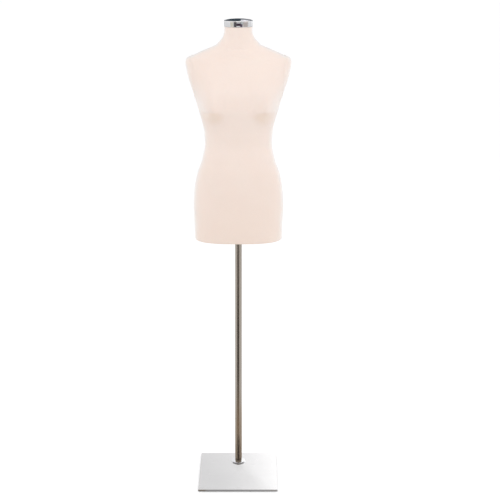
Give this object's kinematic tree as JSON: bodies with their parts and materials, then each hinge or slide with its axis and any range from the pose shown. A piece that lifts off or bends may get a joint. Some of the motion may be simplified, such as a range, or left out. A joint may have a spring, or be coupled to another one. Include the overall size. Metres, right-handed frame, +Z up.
{
  "type": "dress form mannequin",
  "caption": "Jersey-covered female torso form with a lift-off chrome neck cap, on a round pole with a flat square base; it swivels and slides in height on a hidden clamp collar.",
  "frame": {"origin": "on the pole's axis at floor level, under the base plate", "axes": "+Z up along the pole; the front of the form faces -Y; +X is to the right of a person looking at its front"},
  "size_m": [0.385, 0.333, 1.5935],
  "materials": {
    "satin_steel": "fine satin brushed, near mirror at a low angle",
    "pole_steel": "drawn tube, lengthwise brushed, warm grey",
    "zinc_steel": "bright zinc plated",
    "chrome": "polished",
    "cast_alloy": "turned and bead blasted",
    "black_rubber": "matte",
    "black_plastic": "fine spark-eroded grain",
    "nylon": "natural nylon, satin",
    "ivory_jersey": "fine stretch knit, matte",
    "cotton_tape": "plain woven twill tape",
    "foam": "open-cell foam sheet, matte",
    "moulded_shell": "glass-filled moulding, satin",
    "plywood": "birch plywood, sanded, unvarnished",
    "pine": "planed softwood, unvarnished"
  },
  "bodies": {
    "stand": {"base_plate": "satin_steel", "foot_pads": "black_rubber", "pole_bolt": "zinc_steel", "pole_foot_plug": "zinc_steel", "pole_rosette": "chrome", "pole_tube": "pole_steel", "pole_end_cap": "black_plastic"},
    "collar": {"height_collar": "cast_alloy", "thrust_washer": "nylon"},
    "clamp_pad_body": {"clamp_pad": "nylon"},
    "clamp_knob_body": {"clamp_screw": "zinc_steel", "clamp_knob": "black_plastic"},
    "torso": {"jersey_cover": "ivory_jersey", "hem_tape": "cotton_tape", "foam_padding": "foam", "shell_front": "moulded_shell", "shell_back": "moulded_shell", "shell_joint_strips": "moulded_shell", "bottom_panel": "plywood", "panel_cleats": "pine", "panel_screws": "zinc_steel", "mounting_flange": "zinc_steel", "flange_screws": "zinc_steel", "pole_sleeve": "zinc_steel", "lower_bush": "black_plastic", "upper_bush": "black_plastic", "neck_block": "pine"},
    "cap": {"neck_cap": "chrome", "cap_plug": "black_plastic", "cap_screw": "zinc_steel"}
  },
  "joints": [
    {"name": "height_slide", "type": "slide", "parent": "stand", "child": "collar", "axis": [0, 0, 1], "range_m": [-0.2, 0.18]},
    {"name": "torso_swivel", "type": "hinge", "parent": "collar", "child": "torso", "pos_m": [0, 0, 0.843], "axis": [0, 0, 1], "continuous": true},
    {"name": "clamp_travel", "type": "slide", "parent": "collar", "child": "clamp_pad_body", "axis": [0, 1, 0], "range_m": [0, 0.004]},
    {"name": "clamp_turn", "type": "hinge", "parent": "clamp_pad_body", "child": "clamp_knob_body", "pos_m": [0, 0.03, 0.8245], "axis": [0, 1, 0], "range_deg": [0, 1080]},
    {"name": "cap_lift", "type": "slide", "parent": "torso", "child": "cap", "axis": [0, 0, 1], "range_m": [0, 0.06]}
  ],
  "couplings": [
    {"joint": "clamp_travel", "follows": "clamp_turn", "m_per_rad": 0.00019894}
  ]
}
